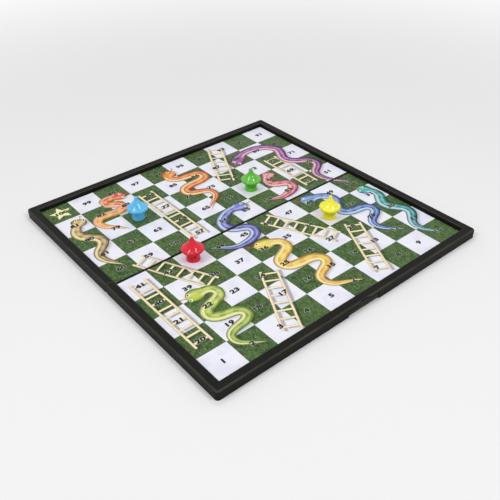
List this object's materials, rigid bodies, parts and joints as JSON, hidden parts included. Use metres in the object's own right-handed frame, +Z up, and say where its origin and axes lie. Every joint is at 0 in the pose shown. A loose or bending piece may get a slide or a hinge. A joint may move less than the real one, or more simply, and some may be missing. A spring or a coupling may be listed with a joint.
{
  "type": "snakes and ladders board",
  "caption": "Folding magnetic snakes and ladders board: hinged rimmed halves with numbered squares, a flip latch and lift-off pawns.",
  "frame": {"origin": "centre of the open board, on the table", "axes": "+X along a row of squares to the right, +Y across the fold from the near half to the far half, +Z up from the table"},
  "size_m": [0.257, 0.2594, 0.025],
  "materials": {
    "case_plastic": "fine moulded texture",
    "hinge_plastic": "satin moulded",
    "sheet_steel": "plain rolled sheet",
    "print_film": "laminated print, semi-gloss",
    "pin_steel": "bright drawn wire",
    "magnet_metal": "nickel plated",
    "red_pawn": "glossy moulded",
    "yellow_pawn": "glossy moulded",
    "green_pawn": "glossy moulded",
    "blue_pawn": "glossy moulded"
  },
  "bodies": {
    "near_half": {"near_case": "case_plastic", "near_steel_sheet": "sheet_steel", "near_print": "print_film", "near_pin_left": "pin_steel", "near_pin_right": "pin_steel", "latch_pin": "pin_steel"},
    "hinge_links": {"hinge_link_left": "hinge_plastic", "hinge_link_right": "hinge_plastic"},
    "far_half": {"far_case": "case_plastic", "far_steel_sheet": "sheet_steel", "far_print": "print_film", "far_pin_left": "pin_steel", "far_pin_right": "pin_steel"},
    "latch": {"latch_clip": "hinge_plastic"},
    "red_piece": {"red_pawn": "red_pawn", "red_magnet": "magnet_metal"},
    "yellow_piece": {"yellow_pawn": "yellow_pawn", "yellow_magnet": "magnet_metal"},
    "green_piece": {"green_pawn": "green_pawn", "green_magnet": "magnet_metal"},
    "blue_piece": {"blue_pawn": "blue_pawn", "blue_magnet": "magnet_metal"}
  },
  "joints": [
    {"name": "fold", "type": "hinge", "parent": "near_half", "child": "hinge_links", "pos_m": [0, -0.00275, 0.0026], "axis": [-1, 0, 0], "range_deg": [0, 90]},
    {"name": "fold_far", "type": "hinge", "parent": "hinge_links", "child": "far_half", "pos_m": [0, 0.00275, 0.0026], "axis": [-1, 0, 0], "range_deg": [0, 90]},
    {"name": "latch_flip", "type": "hinge", "parent": "near_half", "child": "latch", "pos_m": [0, -0.128, 0.0018], "axis": [1, 0, 0], "range_deg": [0, 180]},
    {"name": "red_lift", "type": "slide", "parent": "near_half", "child": "red_piece", "axis": [0, 0, 1], "range_m": [0, 0.03]},
    {"name": "yellow_lift", "type": "slide", "parent": "near_half", "child": "yellow_piece", "axis": [0, 0, 1], "range_m": [0, 0.03]},
    {"name": "green_lift", "type": "slide", "parent": "far_half", "child": "green_piece", "axis": [0, 0, 1], "range_m": [0, 0.03]},
    {"name": "blue_lift", "type": "slide", "parent": "far_half", "child": "blue_piece", "axis": [0, 0, 1], "range_m": [0, 0.03]}
  ]
}
